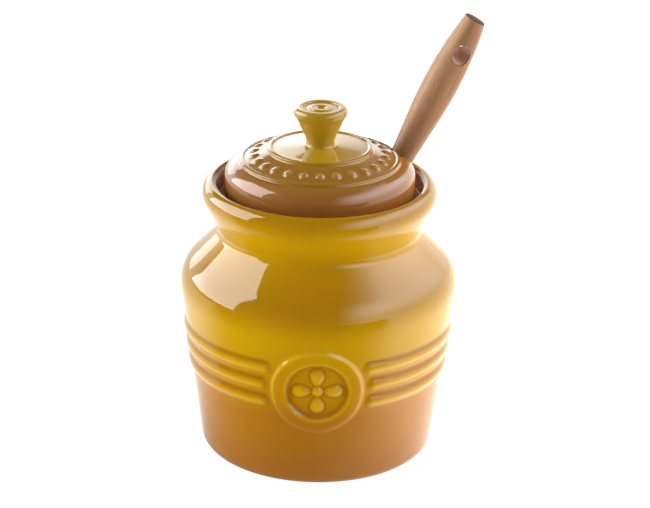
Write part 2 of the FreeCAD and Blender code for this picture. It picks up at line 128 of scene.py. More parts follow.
class FinishSettings(bpy.types.PropertyGroup):
    """Colours of glaze and wood"""
    glaze_top: tint("Upper glaze", "Yellow glaze of rim and shoulder", (0.53, 0.242, 0.003))
    # Brighter yellow where the wall faces down, under the belly and under the rim: painted light
    # from the floor.
    glaze_floor_lit: tint("Floor-lit glaze", "Yellow glaze brightened by painted light from the floor where the wall faces down", (0.74, 0.400, 0.004))
    glaze_mid: tint("Middle glaze", "Glaze between the ribs", (0.70, 0.315, 0.006))
    glaze_low: tint("Lower glaze", "Orange glaze under the ribs", (0.56, 0.215, 0.012))
    glaze_foot: tint("Foot glaze", "Brown glaze near the foot", (0.47, 0.170, 0.016))
    # The next two colours also paint a highlight on each rib's lower side and shade above it.
    glaze_crest_and_highlight: tint("Crest glaze", "Thin yellow glaze on raised edges and painted highlight on the ribs' lower sides", (0.90, 0.520, 0.012))
    glaze_pool_and_shade: tint("Pooled glaze and shade", "Thick amber glaze beside raised edges and painted shade above the ribs", (0.34, 0.125, 0.002))
    # The lip is darkened as a painted reflection of the dark lid; the inside is made paler as a
    # painted reflection of the white surroundings.
    glaze_lip_lid_reflection: tint("Lip glaze", "Brown lip glaze darkened as a painted reflection of the lid", (0.34, 0.140, 0.045))
    glaze_inside_reflection: tint("Inner glaze", "Brown glaze inside the mouth made paler as a painted reflection", (0.72, 0.42, 0.24))
    glaze_speck: tint("Pot specks", "Iron specks in the pot's glaze", (0.22, 0.09, 0.02))
    lid_crown: tint("Crown glaze", "Yellow glaze of crown and knob", (0.50, 0.28, 0.008))
    lid_band: tint("Band glaze", "Orange glaze of the beaded band", (0.40, 0.172, 0.016))
    lid_side: tint("Side glaze", "Brown glaze of the cover's side", (0.36, 0.130, 0.024))
    lid_bead: tint("Bead glaze", "Thin pale glaze on the beads", (0.66, 0.40, 0.12))
    lid_speck: tint("Lid specks", "Iron specks in the lid's glaze", (0.16, 0.06, 0.02))
    beech_light: tint("Light beech", "Light bands of the wood", (0.61, 0.320, 0.155))
    beech_dark: tint("Dark beech", "Dark bands of the wood", (0.41, 0.182, 0.084))
    beech_fleck: tint("Beech flecks", "Short dark flecks of the wood", (0.22, 0.10, 0.05))
    beech_end: tint("End grain", "Dark end grain of the handle's end", (0.15, 0.075, 0.052))
    # Painted light inside the hanging hole, which lies in shade.
    beech_hole_lit: tint("Lit beech in the hole", "Painted light on the wood inside the hanging hole", (0.80, 0.54, 0.44))
    gloss: number("Gloss roughness", "Roughness of the clear glaze", 0.05)


class StageSettings(bpy.types.PropertyGroup):
    """Camera and lamps"""
    distance: length("Distance", "Camera distance", 900)
    elevation: number("Elevation", "Camera elevation in degrees", 22.6)
    roll: number("Roll", "Camera roll in degrees", 0.765)
    lens: number("Lens", "Focal length in millimetres", 133.6)
    shift_across: number("Shift across", "Sideways lens shift, as a share of the width", 0.0100)
    shift_up: number("Shift up", "Upward lens shift, as a share of the width", 0.05385)
    window: number("Window power", "Power of the window seen in the gloss, in watts", 18.0)
    back: number("Backdrop power", "Power of the backdrop seen in the gloss, in watts", 3.2)
    key: number("Key power", "Power of the light from the left, in watts", 7.3)
    fill: number("Fill power", "Power of the light from the right, in watts", 3.1)
    top: number("Top power", "Power of the light overhead, in watts", 0.25)


# -------- surfaces
def divided(line, counts):
    """Line whose runs from point to point are cut into the given numbers of equal parts."""
    index = np.repeat(np.arange(len(counts)), counts)
    inside = np.concatenate([np.arange(n) / n for n in counts])
    runs = line[index + 1] - line[index]
    return np.concatenate([line[index] + runs * inside[:, None], line[-1:]])


def rounded_path(corners, turn, step):
    """Line through corners (radius, height, rounding), as an array of points.

    Each corner P with unit directions a and b to its neighbours and half angle h between
    them gives way to the arc of its rounding R that touches both sides: it starts
    R / tan(h) along a and ends as far along b, round a centre R / sin(h) from P. An arc is
    cut into parts that turn by at most so many degrees, a straight run into equal parts of
    at most the step.
    """
    straight = 1.5700  # half angle above which a corner counts as straight
    spots = np.array([c[:2] for c in corners], float)
    line = [spots[:1]]
    for k in range(1, len(spots) - 1):
        here, bend = spots[k], corners[k][2]
        a = spots[k - 1] - here
        b = spots[k + 1] - here
        a = a / np.hypot(*a)
        b = b / np.hypot(*b)
        half = 0.5 * math.acos(max(-1.0, min(1.0, float(a @ b))))
        if bend <= 0 or half > straight:
            line.append(here[None])
            continue
        middle = here + (a + b) / np.hypot(*(a + b)) * bend / math.sin(half)
        reach = bend / math.tan(half)
        first = np.arctan2(*(here + a * reach - middle)[::-1])
        last = np.arctan2(*(here + b * reach - middle)[::-1])
        sweep = (last - first + math.pi) % (2 * math.pi) - math.pi
        parts = max(3, math.ceil(abs(math.degrees(sweep)) / turn))
        way = first + sweep * np.linspace(0, 1, parts + 1)
        line.append(middle + bend * np.stack([np.cos(way), np.sin(way)], 1))
    line.append(spots[-1:])
    line = np.concatenate(line)
    gaps = np.hypot(*np.diff(line, axis=0).T)
    return divided(line, np.maximum(1, np.ceil(gaps / step - 1e-6)).astype(int))


def refined(path, low, high, step):
    """Path whose rising runs between two heights are cut into parts of at most the step."""
    gaps = np.hypot(*np.diff(path, axis=0).T)
    middle = 0.5 * (path[1:, 1] + path[:-1, 1])
    fine = (path[1:, 1] > path[:-1, 1]) & (middle > low) & (middle < high)
    return divided(path, np.where(fine, np.maximum(1, np.ceil(gaps / step)), 1).astype(int))


def turned(path, angles):
    """Grid of points (radius cos angle, radius sin angle, height) for path and angles."""
    r, z = path[:, 0][None, :], path[:, 1][None, :]
    a = angles[:, None]
    return np.stack([r * np.cos(a), r * np.sin(a), np.broadcast_to(z, (len(angles), len(path)))], -1)


def full_turn(parts, start=0.0):
    """Evenly spread angles of one full turn."""
    return np.linspace(0, 2 * math.pi, parts, endpoint=False) + start


def leaning(angles, tilt):
    """Unit directions that point outwards at each angle and rise by the tilt."""
    return np.stack([np.cos(angles) * math.cos(tilt), np.sin(angles) * math.cos(tilt),
                     np.full_like(angles, math.sin(tilt))], -1)


def closed_mesh(name, grid, marks=None):
    """Mesh of a grid that closes round in its first index and whose two ends are poles.

    The first and last rows of the second index shrink to one point each; quads join
    neighbours and triangles fan out from the poles. Marks, one for each point of the grid,
    become the attribute "relief".
    """
    turns, rows = grid.shape[:2]
    body = grid[:, 1:-1].reshape(-1, 3)
    poles = np.stack([grid[:, 0].mean(0), grid[:, -1].mean(0)])
    points = np.concatenate([body, poles])
    inner = rows - 2
    k = np.arange(turns)
    after = (k + 1) % turns
    j = np.arange(inner - 1)
    here, there = k[:, None] * inner + j, after[:, None] * inner + j
    quads = np.stack([here, there, there + 1, here + 1], -1).reshape(-1, 4)
    low = np.stack([np.full(turns, len(body)), after * inner, k * inner], -1)
    high = np.stack([np.full(turns, len(body) + 1), k * inner + inner - 1,
                     after * inner + inner - 1], -1)
    mesh = bpy.data.meshes.new(name)
    mesh.vertices.add(len(points))
    mesh.vertices.foreach_set("co", points.astype(np.float32).ravel())
    loops = np.concatenate([quads.ravel(), low.ravel(), high.ravel()]).astype(np.int32)
    sizes = np.concatenate([np.full(len(quads), 4), np.full(2 * turns, 3)])
    starts = np.concatenate([[0], np.cumsum(sizes)[:-1]]).astype(np.int32)
    mesh.loops.add(len(loops))
    mesh.loops.foreach_set("vertex_index", loops)
    mesh.polygons.add(len(sizes))
    mesh.polygons.foreach_set("loop_start", starts)
    if marks is not None:
        values = np.concatenate([marks[:, 1:-1].ravel(), [0, 0]]).astype(np.float32)
        mesh.attributes.new("relief", "FLOAT", "POINT").data.foreach_set("value", values)
    mesh.update(calc_edges=True)
    mesh.polygons.foreach_set("use_smooth", np.ones(len(sizes), bool))
    mesh.validate()
    return mesh


def soft_top(value, blend):
    """Smooth maximum of the value and 0: half of value + sqrt(value^2 + blend^2)."""
    return 0.5 * (value + np.sqrt(value ** 2 + blend ** 2))


def bell(distance, width):
    """Smooth hump of height 1: exp(-(distance / width)^2)."""
    return np.exp(-(distance / width) ** 2)


def step_down(distance, width):
    """Smooth step from 1 to 0 at distance 0: 1 / (1 + exp(distance / width))."""
    return 1.0 / (1 + np.exp(distance / width))


def placed(name, data):
    """New object with the data, linked to the scene."""
    item = bpy.data.objects.new(name, data)
    bpy.context.scene.collection.objects.link(item)
    return item


def shown(mesh, name, node):
    """Links a mesh as a piece that stands for a CAD node."""
    item = placed(name, mesh)
    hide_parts(node)
    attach(item, "root")
    return item


def carved(item, form, operation):
    """Joins a closed mesh to an item, or cuts the item with it."""
    tool = placed(form.name, form)
    change = item.modifiers.new("carve", "BOOLEAN")
    change.object = tool
    change.operation = operation
    change.solver = "EXACT"
    graph = bpy.context.evaluated_depsgraph_get()
    result = bpy.data.meshes.new_from_object(item.evaluated_get(graph))
    old = item.data
    item.modifiers.clear()
    item.data = result
    bpy.data.objects.remove(tool)
    bpy.data.meshes.remove(form)
    bpy.data.meshes.remove(old)


def cleaned(mesh, near=0.005 * MM):
    """Splits the many-sided faces that cuts leave and merges points that almost coincide."""
    form = bmesh.new()
    form.from_mesh(mesh)
    bmesh.ops.triangulate(form, faces=[face for face in form.faces if len(face.verts) > 4])
    bmesh.ops.remove_doubles(form, verts=form.verts, dist=near)
    bmesh.ops.dissolve_degenerate(form, edges=form.edges, dist=near)
    form.to_mesh(mesh)
    form.free()


def dressed(item, sharp, material):
    """Keeps edges sharp above an angle in degrees and gives an item its only material."""
    item.data.set_sharp_from_angle(angle=math.radians(sharp))
    item.data.materials.clear()
    item.data.materials.append(material)


# -------- node helpers
MIX_AMOUNT, MIX_FIRST, MIX_SECOND, MIX_RESULT = 0, 6, 7, 2  # colour sockets of a mix node


def socket(node, name):
    """Input of a node by name, the first that is enabled."""
    return next(s for s in node.inputs if s.name == name and s.enabled)


def wire(tree, kind, values=None, **links):
    """New node; values set its properties (small initial) or inputs, links feed its inputs."""
    node = tree.nodes.new(kind)
    for name, value in (values or {}).items():
        if name[0].islower():
            setattr(node, name, value)
        else:
            socket(node, name).default_value = value
    for name, source in links.items():
        tree.links.new(source, socket(node, name))
    return node


def calc(tree, operation, first, second=None, clamp=False):
    """Math node; each operand is an output or a number."""
    node = tree.nodes.new("ShaderNodeMath")
    node.operation = operation
    node.use_clamp = clamp
    for k, operand in enumerate((first, second)):
        if operand is None:
            continue
        if isinstance(operand, (int, float)):
            node.inputs[k].default_value = operand
        else:
            tree.links.new(operand, node.inputs[k])
    return node.outputs[0]


def times(tree, first, second, clamp=False):
    """Product of an output and an output or a number."""
    return calc(tree, "MULTIPLY", first, second, clamp)


def fade(tree, source, start, end, low=0.0, high=1.0, smooth=False):
    """Value that goes from low to high while the source goes from start to end, held outside."""
    return wire(tree, "ShaderNodeMapRange",
                {"interpolation_type": "SMOOTHSTEP" if smooth else "LINEAR", "From Min": start,
                 "From Max": end, "To Min": low, "To Max": high}, Value=source).outputs[0]


def from_axis(tree, place):
    """Distance of a place from the z axis."""
    flat = wire(tree, "ShaderNodeVectorMath", {"operation": "MULTIPLY"}, Vector=place)
    flat.inputs[1].default_value = (1.0, 1.0, 0.0)
    away = wire(tree, "ShaderNodeVectorMath", {"operation": "LENGTH"}, Vector=flat.outputs[0])
    return away.outputs["Value"]


def blend_colours(tree, amount, first, second):
    """Colour mix by an output; each colour is an output or three numbers."""
    node = tree.nodes.new("ShaderNodeMix")
    node.data_type = "RGBA"
    tree.links.new(amount, node.inputs[MIX_AMOUNT])
    for key, colour in ((MIX_FIRST, first), (MIX_SECOND, second)):
        if isinstance(colour, bpy.types.NodeSocket):
            tree.links.new(colour, node.inputs[key])
        else:
            node.inputs[key].default_value = (*colour, 1.0)
    return node.outputs[MIX_RESULT]


def blend_shaders(tree, amount, first, second):
    """Shader mix that goes from the first to the second with the amount."""
    node = tree.nodes.new("ShaderNodeMixShader")
    for target, source in zip(node.inputs, (amount, first, second)):
        tree.links.new(source, target)
    return node.outputs[0]


def ramp(tree, source, stops):
    """Colour ramp with stops (place, colour)."""
    node = tree.nodes.new("ShaderNodeValToRGB")
    node.color_ramp.interpolation = "EASE"
    marks = node.color_ramp.elements
    while len(marks) < len(stops):
        marks.new(0.5)
    for mark, (place, colour) in zip(marks, stops):
        mark.position = place
        mark.color = (*colour, 1.0)
    tree.links.new(source, node.inputs[0])
    return node.outputs[0]


def emptied(owner):
    """Emptied node tree of a material or a world."""
    owner.use_nodes = True
    owner.node_tree.nodes.clear()
    return owner.node_tree


# -------- finishes
def new_group(name, inputs, outputs):
    """Empty shader node group with float or vector sockets; returns tree and its ends."""
    tree = bpy.data.node_groups.new(name, "ShaderNodeTree")
    for label, kind, value in inputs:
        made = tree.interface.new_socket(label, in_out="INPUT", socket_type="NodeSocket" + kind)
        if value is not None:
            made.default_value = value
    for label, kind in outputs:
        tree.interface.new_socket(label, in_out="OUTPUT", socket_type="NodeSocket" + kind)
    return tree, tree.nodes.new("NodeGroupInput"), tree.nodes.new("NodeGroupOutput")


def glaze_group():
    """Group for fired glaze: a slow uneven mask, fine iron specks and a faint peel normal."""
    tree, start, end = new_group("Fired glaze", [
        ("Place", "Vector", None), ("Drift scale", "Float", 24.0), ("Speck scale", "Float", 900.0),
        ("Peel", "Float", 0.02)], [("Drift", "Float"), ("Specks", "Float"), ("Normal", "Vector")])
    speck_radius, rare_above = 0.16, 0.64
    place = start.outputs["Place"]
    drift = wire(tree, "ShaderNodeTexNoise", {"Detail": 3.0, "Roughness": 0.5}, Vector=place,
                 Scale=start.outputs["Drift scale"])
    tree.links.new(calc(tree, "SUBTRACT", drift.outputs[0], 0.5), end.inputs["Drift"])
    speck = wire(tree, "ShaderNodeTexVoronoi", {"feature": "F1"}, Vector=place,
                 Scale=start.outputs["Speck scale"])
    rare = wire(tree, "ShaderNodeTexNoise", {"Scale": 210.0, "Detail": 1.0}, Vector=place)
    dots = calc(tree, "LESS_THAN", speck.outputs["Distance"], speck_radius)
    few = calc(tree, "GREATER_THAN", rare.outputs[0], rare_above)
    tree.links.new(times(tree, dots, few), end.inputs["Specks"])
    peel = wire(tree, "ShaderNodeTexNoise", {"Scale": 130.0, "Detail": 2.0}, Vector=place)
    bump = wire(tree, "ShaderNodeBump", {"Distance": 0.5 * MM}, Height=peel.outputs[0],
                Strength=start.outputs["Peel"])
    tree.links.new(bump.outputs[0], end.inputs["Normal"])


def grain_group():
    """Group for turned beech: long soft grain, short dark flecks and a fine normal along z."""
    tree, start, end = new_group("Turned beech", [("Place", "Vector", None)],
                                 [("Grain", "Float"), ("Flecks", "Float"), ("Normal", "Vector")])
    fine_share, fleck_radius = 0.55, 0.23
    place = start.outputs["Place"]
    along = wire(tree, "ShaderNodeMapping", {"Scale": (1.0, 1.0, 0.07)}, Vector=place).outputs[0]
    grain = wire(tree, "ShaderNodeTexNoise", {"Scale": 330.0, "Detail": 4.0, "Distortion": 0.4},
                 Vector=along)
    broad = wire(tree, "ShaderNodeTexNoise", {"Scale": 90.0, "Detail": 2.0}, Vector=along)
    both = calc(tree, "ADD", times(tree, grain.outputs[0], fine_share),
                times(tree, broad.outputs[0], 1 - fine_share))
    tree.links.new(fade(tree, both, 0.36, 0.64), end.inputs["Grain"])
    short = wire(tree, "ShaderNodeMapping", {"Scale": (1.0, 1.0, 0.16)}, Vector=place)
    cells = wire(tree, "ShaderNodeTexVoronoi", {"Scale": 950.0}, Vector=short.outputs[0])
    flecks = calc(tree, "LESS_THAN", cells.outputs["Distance"], fleck_radius)
    tree.links.new(flecks, end.inputs["Flecks"])
    bump = wire(tree, "ShaderNodeBump", {"Strength": 0.25, "Distance": 0.2 * MM}, Height=both)
    tree.links.new(bump.outputs[0], end.inputs["Normal"])


def new_material(name):
    """Material with an emptied tree; returns it, its tree, its shader and its object place."""
    made = bpy.data.materials.new(name)
    tree = emptied(made)
    shader = tree.nodes.new("ShaderNodeBsdfPrincipled")
    out = tree.nodes.new("ShaderNodeOutputMaterial")
    tree.links.new(shader.outputs[0], out.inputs[0])
    place = tree.nodes.new("ShaderNodeTexCoord").outputs["Object"]
    return made, tree, shader, place


def use_group(tree, name, place):
    """Outputs of a group node in a material, with its place wired."""
    node = tree.nodes.new("ShaderNodeGroup")
    node.node_tree = bpy.data.node_groups[name]
    tree.links.new(place, node.inputs["Place"])
    return node.outputs


def glazed(tree, shader, effect, colour, speck, gloss):
    """Gives a shader its specked colour and its peel, both under a clear glossy layer."""
    colour = blend_colours(tree, times(tree, effect["Specks"], 0.25), colour, speck)
    tree.links.new(colour, shader.inputs["Base Color"])
    tree.links.new(effect["Normal"], shader.inputs["Normal"])
    for name, value in (("Roughness", 0.6), ("Specular IOR Level", 0.0), ("Coat Weight", 1.0),
                        ("Coat Roughness", gloss), ("Coat IOR", 1.52)):
        shader.inputs[name].default_value = value


def pot_glaze(looks):
    """Glaze that runs from brown at the foot through amber to yellow at the rim.

    It is lighter where the wall faces down, under the belly and under the rim: painted light from
    the floor.
    It is yellow on raised edges, where the glaze is thinner, and amber beside them, where it
    gathers; on the ribs the yellow is a painted highlight on the lower side and the amber painted
    shade above it. Inside the mouth it is duller and pale brown, made paler as a painted reflection,
    with a lip darkened as a painted reflection of the lid.
    """
    made, tree, shader, place = new_material("Pot glaze")
    height = wire(tree, "ShaderNodeSeparateXYZ", Vector=place).outputs["Z"]
    effect = use_group(tree, "Fired glaze", place)
    drift = times(tree, effect["Drift"], 10 * MM)
    level = calc(tree, "DIVIDE", calc(tree, "ADD", height, drift), 110 * MM)
    # The brighter stops at 0.53 and 0.85 lie where the wall faces down: painted light from the
    # floor.
    colour = ramp(tree, level, [(0.02, looks.glaze_foot), (0.24, looks.glaze_low),
                                (0.36, looks.glaze_mid), (0.53, looks.glaze_floor_lit),
                                (0.66, looks.glaze_top), (0.85, looks.glaze_floor_lit),
                                (0.935, looks.glaze_top)])
    relief = wire(tree, "ShaderNodeAttribute", {"attribute_name": "relief"}).outputs["Fac"]
    # On the ribs this paints a highlight on the lower side; elsewhere it is yellow on raised edges.
    thin = times(tree, relief, 0.8, clamp=True)
    colour = blend_colours(tree, thin, colour, looks.glaze_crest_and_highlight)
    # On the ribs this paints shade on the upper side; elsewhere it is amber beside raised edges.
    pooled_and_shaded = times(tree, relief, -0.75, clamp=True)
    colour = blend_colours(tree, pooled_and_shaded, colour, looks.glaze_pool_and_shade)
    # In the mouth the lip colour is a painted reflection of the lid, and the pale inside a painted
    # reflection of the white surroundings.
    within = fade(tree, from_axis(tree, place), 39.6 * MM, 38.0 * MM)
    mouth = times(tree, within, fade(tree, height, 90 * MM, 95 * MM))
    deep = fade(tree, height, 103.5 * MM, 101 * MM)
    brown = blend_colours(tree, deep, looks.glaze_lip_lid_reflection, looks.glaze_inside_reflection)
    colour = blend_colours(tree, mouth, colour, brown)
    glazed(tree, shader, effect, colour, looks.glaze_speck, looks.gloss)
    duller = times(tree, mouth, 0.6)
    tree.links.new(calc(tree, "SUBTRACT", 1.0, duller), shader.inputs["Coat Weight"])
    return made


def lid_glaze(looks):
    """Glaze that runs from yellow on knob and crown to brown at the cover's side."""
    made, tree, shader, place = new_material("Lid glaze")
    effect = use_group(tree, "Fired glaze", place)
    drift = times(tree, effect["Drift"], 4 * MM)
    far = calc(tree, "DIVIDE", calc(tree, "ADD", from_axis(tree, place), drift), 36 * MM)
    colour = ramp(tree, far, [(0.44, looks.lid_crown), (0.60, looks.lid_band),
                              (0.81, looks.lid_band), (0.94, looks.lid_side)])
    relief = wire(tree, "ShaderNodeAttribute", {"attribute_name": "relief"}).outputs["Fac"]
    thin = times(tree, relief, 0.4, clamp=True)
    colour = blend_colours(tree, thin, colour, looks.lid_bead)
    glazed(tree, shader, effect, colour, looks.lid_speck, looks.gloss)
    shader.inputs["Specular IOR Level"].default_value = 0.12
    shader.inputs["Roughness"].default_value = 0.45
    return made


def beech_wood(looks, size, tip, turn):
    """Oiled beech whose grain runs along the spoon, darker on the cut end, with painted light inside
    the hole.

    The hole's inside is where a place near the hole lies deeper than the handle's skin, whose
    radius is taken as 4.4 mm at the free end and 0.055 mm more for each millimetre of distance.
    """
    made, tree, shader, place = new_material("Oiled beech")
    along = wire(tree, "ShaderNodeMapping", {"vector_type": "TEXTURE", "Location": tip,
                                             "Rotation": turn}, Vector=place).outputs[0]
    effect = use_group(tree, "Turned beech", along)
    colour = blend_colours(tree, effect["Grain"], looks.beech_dark, looks.beech_light)
    flecks = times(tree, effect["Flecks"], 0.28)
    colour = blend_colours(tree, flecks, colour, looks.beech_fleck)
    spot = wire(tree, "ShaderNodeSeparateXYZ", Vector=along).outputs
    total = size.full_length
    sloping = times(tree, calc(tree, "SUBTRACT", END_PIVOT * MM, spot["Y"]),
                    math.tan(math.radians(size.end_slant)))
    level = calc(tree, "ADD", spot["Z"], sloping)
    tip_end = fade(tree, level, total - 0.6 * MM, total - 0.2 * MM)
    colour = blend_colours(tree, times(tree, tip_end, 0.9), colour, looks.beech_end)
    # Painted light: the hole's inside, which lies in shade, is made pale.
    back = calc(tree, "SUBTRACT", total, spot["Z"])
    skin = calc(tree, "ADD", times(tree, back, 0.055), 4.4 * MM)
    inner = fade(tree, calc(tree, "SUBTRACT", skin, from_axis(tree, along)), 0.0, 0.2 * MM)
    away = calc(tree, "ABSOLUTE", calc(tree, "SUBTRACT", back, size.hole_at))
    beside = fade(tree, away, 7.0 * MM, 6.2 * MM)
    colour = blend_colours(tree, times(tree, inner, beside), colour, looks.beech_hole_lit)
    tree.links.new(colour, shader.inputs["Base Color"])
    tree.links.new(effect["Normal"], shader.inputs["Normal"])
    shader.inputs["Specular IOR Level"].default_value = 0.35
    rough = calc(tree, "ADD", times(tree, tip_end, 0.4), 0.5)
    tree.links.new(rough, shader.inputs["Roughness"])
    return made


# -------- pot
def wall_slope(size):
    """Outward slope of the lower wall, as radius for each unit of height."""
    base, belly, high = size.base_radius / MM, size.belly_radius / MM, size.belly_height / MM
    return (belly - base) / high


def pot_path(size):
    """Profile of the pot in millimetres, from the underside over wall and rim down to the floor.

    The part in sight is divided finer than the inside, and finest where ribs and medallion lie.
    """
    base, belly, high = size.base_radius / MM, size.belly_radius / MM, size.belly_height / MM
    mouth, throat, ledge = size.mouth_radius / MM, size.throat_radius / MM, size.ledge_height / MM
    wall, slope = size.wall / MM, wall_slope(size)
    foot_inside, foot_rise = 31, 1.2
    crest = size.rim_height / MM + size.rim_radius / MM - size.mouth_radius / MM
    inner_z = high - 1.8
    inner_r = base + slope * inner_z - wall
    mid_ledge = ((mouth + throat) / 2, ledge, 0)
    shown_part = rounded_path([
        (0, foot_rise, 0), (foot_inside, foot_rise, 0.5), (foot_inside, 0, 0.5), (base, 0, 4.0),
        (belly, high, 13.0), (size.neck_radius / MM, size.neck_height / MM, 3.0),
        (size.rim_radius / MM, size.rim_height / MM, 5.0), (mouth, crest, 2.6),
        (mouth, ledge, 0.8), mid_ledge], turn=4.5, step=2.5)
    hidden_part = rounded_path([
        mid_ledge, (throat, ledge, 1.0), (throat, inner_z + inner_r - throat, 2.0),
        (inner_r, inner_z, 8.2), (base + slope * POT_FLOOR - wall, POT_FLOOR, 8.0),
        (0, POT_FLOOR, 0)], turn=12, step=8)
    return refined(np.concatenate([shown_part, hidden_part[1:]]), low=18, high=60, step=0.43)


def rib_relief(size, across, up):
    """Height of the ribs and the mask of their painted highlight and shade.

    With d the distance from its line over half its width, a rib is rib_height (1 - d^2)^2 up
    to d = 1. The line ends on a circle round the medallion; past its end the distance is taken
    from the end point, so it closes round. The mask is near 1 on the lower part of a rib, a
    painted highlight of the bright floor, and below 0 above it, painted shade.
    """
    half, gap, end_fade = size.rib_width / MM / 2, 0.6, 1.6
    highlight_below, highlight_width, shade_above, shade_width = 0.7, 1.1, 2.3, 0.95
    end = size.medallion_radius / MM + gap + half
    rise, mask = np.zeros_like(across), np.zeros_like(across)
    for k in range(RIB_COUNT):
        level = (size.rib_low + k * size.rib_pitch) / MM - size.medallion_height / MM
        stop = math.sqrt(end ** 2 - level ** 2)
        past = np.maximum(0.0, stop - np.abs(across))
        share = np.maximum(0, 1 - ((up - level) ** 2 + past ** 2) / half ** 2)
        rise += size.rib_height / MM * share ** 2
        # Painted highlight on a rib's lower side and painted shade above it, both fading past its
        # end.
        near = bell(past, end_fade)
        mask += near * bell(up - level + highlight_below, highlight_width)
        mask -= 0.9 * near * bell(up - level - shade_above, shade_width)
    return rise, mask


def band_relief(size, across, up):
    """Height of the medallion's band and of the shallow well inside it, with their glaze mask.

    The band is a flat between two smooth steps. The mask is high on its inner edge and on the
    upper part of its outer edge, where glaze runs thin, and below 0 in the well beside it.
    """
    outer, band = size.medallion_radius / MM, size.medallion_band / MM
    away = np.hypot(across, up) - outer
    well = step_down(away + band, 0.32)
    rise = size.medallion_rise / MM * (step_down(away + 0.9, 0.36) - well) - 0.25 * well
    mask = 0.7 * bell(away + 1.1, 0.7) * np.clip(0.5 + up / 14, 0, 1)
    mask += 0.8 * bell(away + band - 0.5, 0.55)
    mask -= 0.5 * bell(away + band + 0.8, 0.8)
    return rise, mask


def flower_relief(across, up):
    """Height and glaze mask of a bud and four petals.

    Each is an elliptic cap with a soft foot: its rise times 1 minus the squares of the
    distances from its middle over half its length and half its width. A petal widens outwards.
    """
    bud_rise, bud_radius = 1.3, 2.1
    petal_rise, petal_middle, half_long, half_wide, widening = 1.25, 5.7, 3.5, 2.6, 0.2
    caps = np.maximum(bud_rise * (1 - (across ** 2 + up ** 2) / bud_radius ** 2), -3.0)
    for quarter in range(4):
        c, s = math.cos(quarter * math.pi / 2), math.sin(quarter * math.pi / 2)
        out = across * c + up * s - petal_middle
        side = -across * s + up * c
        wide = half_wide + widening * out
        caps = np.maximum(caps, petal_rise * (1 - (out / half_long) ** 2 - (side / wide) ** 2))
    bloom = soft_top(caps, 0.18)
    return bloom, 0.9 * np.clip(bloom, 0, 1) - 0.7 * bell(caps + 0.25, 0.4)


def pot_relief(size, across, height):
    """Height of ribs and medallion over the wall in millimetres, and the mask of their glaze."""
    up = (height - size.medallion_height / MM) / math.cos(math.atan(wall_slope(size)))
    parts = (rib_relief(size, across, up), band_relief(size, across, up), flower_relief(across, up))
    rises, masks = zip(*parts)
    return sum(rises), sum(masks)


class POT_OT_pot(bpy.types.Operator):
    """Builds the glazed pot with its ribs and medallion"""
    bl_idname = "mustard.pot"
    bl_label = "Pot"

    def execute(self, context):
        size = context.scene.pot_size
        path, slope = pot_path(size), wall_slope(size)
        reach = 29  # degrees to each side that are divided finer
        front = np.linspace(-reach, reach, 181)
        rest = np.linspace(reach, 360 - reach, 100)[1:-1]
        angles = np.radians(np.concatenate([front, rest]) - 90)
        radius = size.base_radius / MM + slope * path[:, 1]
        turn = np.radians((np.degrees(angles) + 90 + 180) % 360 - 180)
        across = turn[:, None] * radius[None, :]
        height = np.broadcast_to(path[:, 1], across.shape)
        relief_low, relief_high, points_past_belly = 15, 61, 6
        outside = np.arange(len(path)) < np.argmax(path[:, 0]) + points_past_belly
        lower = outside & (path[:, 1] > relief_low) & (path[:, 1] < relief_high)
        rise, mask = (np.where(lower, part, 0.0) for part in pot_relief(size, across, height))
        aim = leaning(angles, -math.atan(slope))
        grid = turned(path, angles) + rise[..., None] * aim[:, None, :]
        mesh = closed_mesh("pot_glazed", grid * MM, mask)
        shown(mesh, "pot_glazed", "pot")
        mesh.materials.append(pot_glaze(context.scene.pot_finish))
        return {"FINISHED"}


# -------- lid
def lid_path(size, z):
    """Profile of the lid on a ledge at height z in millimetres, and where its band starts.

    It runs from the underside's middle out over the ring that sits in the throat, the cover's
    side, the beaded band and the crown to the knob's top. The band is cut into equal parts.
    """
    side, skirt = size.radius / MM, size.skirt_radius / MM
    edge, ring = size.edge_radius / MM, size.ring_radius / MM
    stem, knob = size.stem_radius / MM, size.knob_radius / MM
    skirt_wall, skirt_depth = 4.5, 4
    underside = [(0, z + 15.2, 0), (ring - 4.8, z + 13.4, 6), (skirt - skirt_wall, z + 9.1, 4.8)]
    sleeve = [(skirt - skirt_wall, z - skirt_depth, 1.0), (skirt, z - skirt_depth, 1.0),
              (skirt, z, 0.3)]
    cover = [(side, z, 0.8), (side, z + 12.6, 5.6), (edge + 0.1, z + 13.9, 0.7),
             (edge, z + 14.9, 0.45), (edge - 1.2, z + 15.3, 0.45), (edge - 1.7, z + 14.9, 0.5)]
    crown = [(ring, z + 18.1, 0.7), (ring - 0.1, z + 19.25, 0.5), (ring - 1.3, z + 19.55, 0.5),
             (ring - 1.8, z + 19.0, 0.6), (stem, z + 20.0, 1.2)]
    handle = [(stem, z + 22.6, 6.0), (8.9, z + 30.5, 0.5), (knob, z + 31.8, 0.9),
              (knob, z + 34.5, 1.7)]
    top_rings = [(6.9, z + 34.5, 0.35), (6.7, z + 33.9, 0.35), (4.3, z + 33.9, 0.3),
                 (4.1, z + 34.3, 0.3), (2.1, z + 34.3, 0.4), (1.3, z + 33.6, 0.4), (0, z + 33.6, 0)]
    path = rounded_path(underside + sleeve + cover + crown + handle + top_rings, turn=11, step=2.5)
    top = np.arange(len(path)) > np.argmax(path[:, 0])
    band = top & (path[:, 0] > ring + 0.3) & (path[:, 0] < edge - 1.9)
    first, last = np.flatnonzero(band)[[0, -1]] + (-1, 1)
    line = path[first:last + 1]
    far = np.concatenate([[0], np.cumsum(np.hypot(*np.diff(line, axis=0).T))])
    share = np.linspace(0, 1, 36)
    even = np.stack([np.interp(share * far[-1], far, line[:, k]) for k in (0, 1)], -1)
    return np.concatenate([path[:first], even, path[last + 1:]]), first


